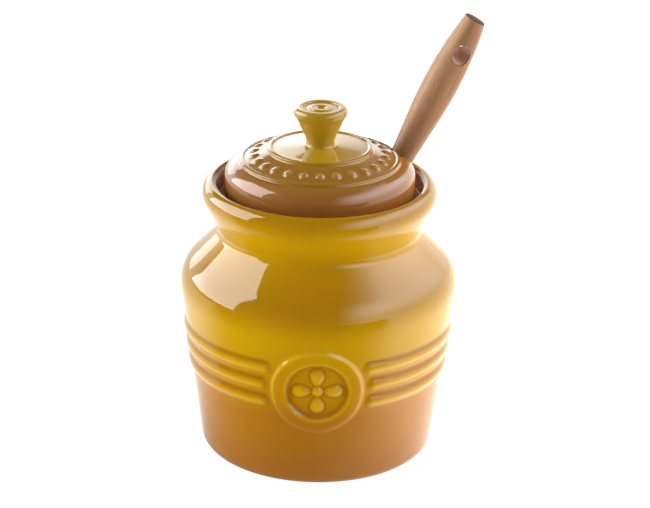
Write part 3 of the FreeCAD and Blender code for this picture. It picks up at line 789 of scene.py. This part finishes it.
def bead_relief(size, path, angles, first):
    """Height of the beads in millimetres over the band, whose first point has the given index.

    A bead is an elliptic cap with a soft foot: bead_rise times 1 minus the squares of the
    distances in radius and along the bead circle over half its length and half its width.
    """
    half_long, half_wide = 2.0, 1.75
    circle = size.bead_radius / MM
    edge, ring = size.edge_radius / MM, size.ring_radius / MM
    pitch = 2 * math.pi / size.bead_count
    off = ((angles + math.pi / 2 + pitch / 2) % pitch - pitch / 2)[:, None]
    r = path[:, 0][None, :]
    heap = 1 - ((r - circle) / half_long) ** 2 - (off * circle / half_wide) ** 2
    on_band = (r > ring + 0.8) & (r < edge - 1.2) & (np.arange(len(path)) > first - 2)
    return np.where(on_band, soft_top(size.bead_rise / MM * np.maximum(heap, -4), 0.12), 0.0)


def notch_form(place):
    """Slot with a half round end about the handle's axis, open outwards, at the spoon's place."""
    half, out, low, high = 5.55 * MM, 40 * MM, 60 * MM, 160 * MM
    u = np.linspace(math.pi / 2, -math.pi / 2, 25)
    outline = np.concatenate([[(out, -half), (out, half)],
                              np.stack([-half * np.cos(u), half * np.sin(u)], 1)])
    slot = np.stack([np.concatenate([outline, np.full((len(outline), 1), level)], 1)
                     for level in (low, low, high, high)], 1)
    form = closed_mesh("slot", slot)
    form.transform(place)
    return form


class POT_OT_lid(bpy.types.Operator):
    """Builds the glazed lid with its beads, knob and notch for the spoon"""
    bl_idname = "mustard.lid"
    bl_label = "Lid"

    def execute(self, context):
        scene = context.scene
        size = scene.lid_size
        path, first = lid_path(size, scene.pot_size.ledge_height / MM)
        angles = full_turn(14 * size.bead_count, -math.pi / 2)
        rise = bead_relief(size, path, angles, first)
        band_width, band_drop = (size.edge_radius - size.ring_radius) / MM - 1.0, 3.2
        aim = leaning(angles, math.atan2(band_width, band_drop))
        grid = turned(path, angles) + rise[..., None] * aim[:, None, :]
        item = shown(closed_mesh("lid_glazed", grid * MM, rise), "lid_glazed", "lid")
        carved(item, notch_form(spoon_line(scene)), "DIFFERENCE")
        cleaned(item.data)
        dressed(item, sharp=50, material=lid_glaze(scene.pot_finish))
        return {"FINISHED"}


# -------- spoon
def spoon_line(scene):
    """Place of the spoon: matrix from its upright form, tip at the origin, in metres.

    The bowl's end stands just over the pot's floor, and the handle's axis passes the ledge at
    the seat's distance from the throat.
    """
    size = scene.spoon_size
    lean, turn = math.radians(size.lean), math.radians(size.turn)
    gap = 0.25
    bowl_z = POT_FLOOR + gap + math.hypot(BOWL_LONG * math.cos(lean), BOWL_WIDE * math.sin(lean))
    throat, ledge = scene.pot_size.throat_radius / MM, scene.pot_size.ledge_height / MM
    bowl_r = throat - size.seat / MM - (ledge - bowl_z) * math.tan(lean)
    tip_r = bowl_r - BOWL_LONG * math.sin(lean)
    tip_z = bowl_z - BOWL_LONG * math.cos(lean)
    tip = Matrix.Translation((tip_r * math.cos(turn) * MM, tip_r * math.sin(turn) * MM, tip_z * MM))
    return tip @ Matrix.Rotation(turn, 4, "Z") @ Matrix.Rotation(lean, 4, "Y")


def handle_path(total):
    """Profile of the handle in millimetres, from the tang inside the bowl to the free end.

    From the free end on, the radius is an arc about a thick barrel, a straight taper to the
    waist, a slower one to the neck and then even. A bell-shaped average over 17 points softens
    what lies beyond the barrel's thickest part. The tang shrinks inside the bowl.
    """
    barrel, barrel_at, bow, barrel_end = 6.5, 27.5, 150.0, 37
    shoulder, waist, waist_at, neck = 6.2, 4.45, 58, 3.85
    tang_at, tang_end, soft = 131, 145, 0.5
    back = np.concatenate([np.linspace(0, 0.9, 6)[:-1] ** 2 / 0.9, np.arange(0.9, tang_end, 0.7)])
    swell = barrel - bow + np.sqrt(bow ** 2 - (np.minimum(back, barrel_end) - barrel_at) ** 2)
    taper = shoulder - (back - barrel_end) * (shoulder - waist) / (waist_at - barrel_end)
    drop, run, shrink = 0.6, 8, 2.3
    slower = waist - (back - waist_at) * drop / run
    radius = np.where(back < waist_at, taper, np.maximum(slower, neck))
    radius = np.where(back < barrel_end, swell, radius)
    kernel = np.exp(-0.5 * (np.arange(-8, 9) / 4.0) ** 2)
    even = np.convolve(np.pad(radius, 8, mode="edge"), kernel / kernel.sum(), mode="valid")
    radius = np.where(back > 30, even, radius)
    cut = soft - np.sqrt(np.maximum(0, soft ** 2 - (soft - back) ** 2))
    radius = radius - np.where(back < soft, cut, 0)
    tang = neck - (back - tang_at) * shrink / (tang_end - tang_at)
    radius = np.where(back > tang_at, tang, radius)
    return np.concatenate([[(0, total - back[-1])], np.stack([radius, total - back], 1)[::-1],
                           [(0, total)]])


def round_bar(name, radius, low, high):
    """Closed cylinder mesh between two heights in metres."""
    path = np.array([(0, low), (radius, low), (radius, high), (0, high)], float)
    return closed_mesh(name, turned(path, full_turn(64)))


class POT_OT_spoon(bpy.types.Operator):
    """Builds the turned beech spoon"""
    bl_idname = "mustard.spoon"
    bl_label = "Spoon"

    def execute(self, context):
        size = context.scene.spoon_size
        total = size.full_length / MM
        angles = full_turn(96)
        grid = turned(handle_path(total), angles)
        slanted = 6  # length over which the end's slant sets in
        near = np.clip((grid[..., 2] - total + slanted) / slanted, 0, 1) ** 2
        slant = math.tan(math.radians(size.end_slant))
        grid[..., 2] -= (END_PIVOT - grid[..., 1]) * slant * near
        item = shown(closed_mesh("spoon_beech", grid * MM), "spoon_beech", "spoon")
        v = np.linspace(-math.pi / 2, math.pi / 2, 61)
        ball = turned(np.stack([np.cos(v), np.sin(v)], 1), angles)
        outer, hollow = (BOWL_WIDE, 3.5, BOWL_LONG), (8.19, 3.2, 13.26)
        for radii, centre, operation in ((outer, (0, 0, BOWL_LONG), "UNION"),
                                         (hollow, (0, -3.5, 16.15), "DIFFERENCE")):
            form = (ball * np.array(radii) + np.array(centre)) * MM
            carved(item, closed_mesh("form", form), operation)
        drill = round_bar("drill", size.hole_radius, -20 * MM, 20 * MM)
        drill.transform(Matrix.Translation((0, 0, size.full_length - size.hole_at)) @
                        Matrix.Rotation(math.radians(size.hole_turn), 4, "Z") @
                        Matrix.Rotation(math.radians(size.hole_tilt - 90), 4, "X"))
        carved(item, drill, "DIFFERENCE")
        cleaned(item.data)
        place = spoon_line(context.scene)
        item.data.transform(place)
        wood = beech_wood(context.scene.pot_finish, size, place.to_translation(), place.to_euler())
        dressed(item, sharp=40, material=wood)
        return {"FINISHED"}


# -------- stage
def studio_floor():
    """Matt white floor that keeps the shadow and looks white behind the pot."""
    made = bpy.data.materials.new("Studio floor")
    tree = emptied(made)
    out = tree.nodes.new("ShaderNodeOutputMaterial")
    matt = wire(tree, "ShaderNodeBsdfDiffuse", {"Color": (0.84, 0.84, 0.84, 1.0)})
    rays = tree.nodes.new("ShaderNodeLightPath").outputs
    seen = calc(tree, "MAXIMUM", rays["Is Camera Ray"], rays["Is Transmission Ray"])
    way = tree.nodes.new("ShaderNodeTexCoord").outputs["Object"]
    place = wire(tree, "ShaderNodeSeparateXYZ", Vector=way).outputs
    # The gloss sees a floor that is dark in front of a slanting line and brightest on the right.
    across = times(tree, calc(tree, "MAXIMUM", place["X"], -0.03), 0.6)
    near = fade(tree, calc(tree, "ADD", place["Y"], across), -0.08, 0.02, smooth=True)
    right = fade(tree, place["X"], -0.02, 0.08, 1.2, 1.8, smooth=True)
    glow = calc(tree, "MAXIMUM", times(tree, seen, 1.14), rays["Is Diffuse Ray"])
    glow = calc(tree, "MAXIMUM", glow, times(tree, near, right))
    white = wire(tree, "ShaderNodeEmission", {"Color": (1.0, 1.0, 1.0, 1.0)}, Strength=glow)
    # How much of the floor glows instead of taking light, by kind of ray.
    share = calc(tree, "MAXIMUM", times(tree, seen, 0.85), rays["Is Glossy Ray"])
    share = calc(tree, "MAXIMUM", share, times(tree, rays["Is Diffuse Ray"], 0.6))
    mix = blend_shaders(tree, share, matt.outputs[0], white.outputs[0])
    tree.links.new(mix, out.inputs[0])
    return made


def studio_world():
    """Surroundings that are plain white where seen directly.

    In the gloss they are bright low at the back and high on the right; for matt surfaces they
    are pale at the back and dim on the camera's side and overhead.
    """
    world = bpy.data.worlds.new("Studio")
    bpy.context.scene.world = world
    tree = emptied(world)
    out = tree.nodes.new("ShaderNodeOutputWorld")
    rays = tree.nodes.new("ShaderNodeLightPath").outputs
    toward = tree.nodes.new("ShaderNodeTexCoord").outputs["Generated"]
    way = wire(tree, "ShaderNodeSeparateXYZ", Vector=toward).outputs
    back = fade(tree, way["Y"], 0.15, 0.75, 0.0, 1.45, smooth=True)
    low = fade(tree, way["Z"], 0.45, 0.25, smooth=True)
    right = fade(tree, way["X"], 0.2, 0.75, smooth=True)
    rising = fade(tree, way["Z"], 0.1, 0.6, 1.9, 4.5, smooth=True)
    fading = fade(tree, way["Z"], 0.98, 0.75, smooth=True)
    glow = times(tree, times(tree, right, rising), fading)
    glossy = calc(tree, "MAXIMUM", times(tree, back, low), glow)
    glossy = calc(tree, "ADD", glossy, 0.04)
    front = fade(tree, way["Y"], -0.95, -0.10, 0.05, 0.34, smooth=True)
    upper = fade(tree, way["Z"], 0.0, 0.5, 1.0, 0.15, smooth=True)
    matt = times(tree, front, upper)
    level = wire(tree, "ShaderNodeMix", {"data_type": "FLOAT"}, Factor=rays["Is Diffuse Ray"],
                 A=glossy, B=matt)
    white = {"Color": (1.0, 1.0, 1.0, 1.0)}
    around = wire(tree, "ShaderNodeBackground", white, Strength=level.outputs[0])
    plain = wire(tree, "ShaderNodeBackground", white)
    mix = blend_shaders(tree, rays["Is Camera Ray"], around.outputs[0], plain.outputs[0])
    tree.links.new(mix, out.inputs[0])


def soft_light(name, place, target, width, tall, power, gloss):
    """Rectangular lamp at a place, facing a target; it lights only glossy or only matt."""
    lamp = bpy.data.lights.new(name, "AREA")
    lamp.shape = "RECTANGLE"
    lamp.size = width
    lamp.size_y = tall
    lamp.energy = power
    if not gloss:
        lamp.color = MATT_LIGHT
    item = placed(name, lamp)
    item.location = place
    item.rotation_euler = (Vector(target) - Vector(place)).to_track_quat("-Z", "Y").to_euler()
    item.visible_diffuse = not gloss
    item.visible_glossy = gloss


class POT_OT_stage(bpy.types.Operator):
    """Sets up the floor, the lights and the camera"""
    bl_idname = "mustard.stage"
    bl_label = "Stage"

    def execute(self, context):
        scene = context.scene
        setup = scene.pot_stage
        mesh = bpy.data.meshes.new("floor")
        mesh.from_pydata([(-4, -4, 0), (4, -4, 0), (4, 4, 0), (-4, 4, 0)], [], [(0, 1, 2, 3)])
        mesh.materials.append(studio_floor())
        placed("floor", mesh)
        studio_world()
        middle, dim = (0, 0, 0.07), 0.12
        for name, place, target, width, tall, power, gloss in (
                ("window", (-0.80, 0.17, 0.62), (0, 0.17, 0.62), 0.92, 1.0, setup.window, True),
                ("backdrop", (-0.42, 0.95, 0.36), (-0.42, 0, 0.36), 0.80, 0.48, setup.back, True),
                ("backdrop_right", (0.40, 0.95, 0.31), (0.40, 0, 0.31), 0.80, 0.38,
                 setup.back * dim, True),
                ("key", (-0.88, -0.10, 0.38), middle, 0.7, 0.8, setup.key, False),
                ("fill", (0.88, -0.10, 0.38), middle, 0.7, 0.8, setup.fill, False),
                ("top", (0.0, 0.10, 1.0), middle, 0.9, 0.9, setup.top, False)):
            soft_light(name, place, target, width, tall, power, gloss)
        camera = bpy.data.cameras.new("camera")
        camera.sensor_width = 36.0
        camera.lens = setup.lens
        camera.shift_x = setup.shift_across
        camera.shift_y = setup.shift_up
        rise = math.radians(setup.elevation)
        ahead = Vector((0, math.cos(rise), -math.sin(rise)))
        turn = ahead.to_track_quat("-Z", "Y").to_matrix().to_4x4()
        seen = Vector((0, 0, 60 * MM))
        scene.camera = placed("camera", camera)
        scene.camera.matrix_world = (Matrix.Translation(seen - ahead * setup.distance) @ turn @
                                     Matrix.Rotation(math.radians(setup.roll), 4, "Z"))
        scene.view_settings.view_transform = "Standard"
        return {"FINISHED"}


class POT_OT_finishes(bpy.types.Operator):
    """Makes the shared finish groups of glaze and wood"""
    bl_idname = "mustard.finishes"
    bl_label = "Finishes"

    def execute(self, context):
        glaze_group()
        grain_group()
        return {"FINISHED"}


class POT_PT_panel(bpy.types.Panel):
    """Lists the pieces of the pot"""
    bl_idname = "POT_PT_panel"
    bl_label = "Mustard pot"
    bl_space_type = "VIEW_3D"
    bl_region_type = "UI"
    bl_category = "Pot"

    def draw(self, context):
        for operator in OPERATORS:
            self.layout.operator(operator.bl_idname)
        for group, kind in SETTINGS.items():
            box = self.layout.box()
            for name in kind.__annotations__:
                box.prop(getattr(context.scene, group), name)


SETTINGS = {"pot_size": PotSettings, "lid_size": LidSettings, "spoon_size": SpoonSettings,
            "pot_finish": FinishSettings, "pot_stage": StageSettings}
OPERATORS = (POT_OT_finishes, POT_OT_pot, POT_OT_lid, POT_OT_spoon, POT_OT_stage)


def register():
    """Registers the settings, the operators and the panel."""
    for group, kind in SETTINGS.items():
        bpy.utils.register_class(kind)
        setattr(bpy.types.Scene, group, bpy.props.PointerProperty(type=kind))
    for kind in (*OPERATORS, POT_PT_panel):
        bpy.utils.register_class(kind)


def unregister():
    """Takes everything that register added away again."""
    for kind in (POT_PT_panel, *reversed(OPERATORS)):
        bpy.utils.unregister_class(kind)
    for group, kind in SETTINGS.items():
        delattr(bpy.types.Scene, group)
        bpy.utils.unregister_class(kind)


def main():
    """Builds the pieces and the stage."""
    register()
    for operator in OPERATORS:
        area, name = operator.bl_idname.split(".")
        getattr(getattr(bpy.ops, area), name)()


if __name__ == "__main__":
    main()
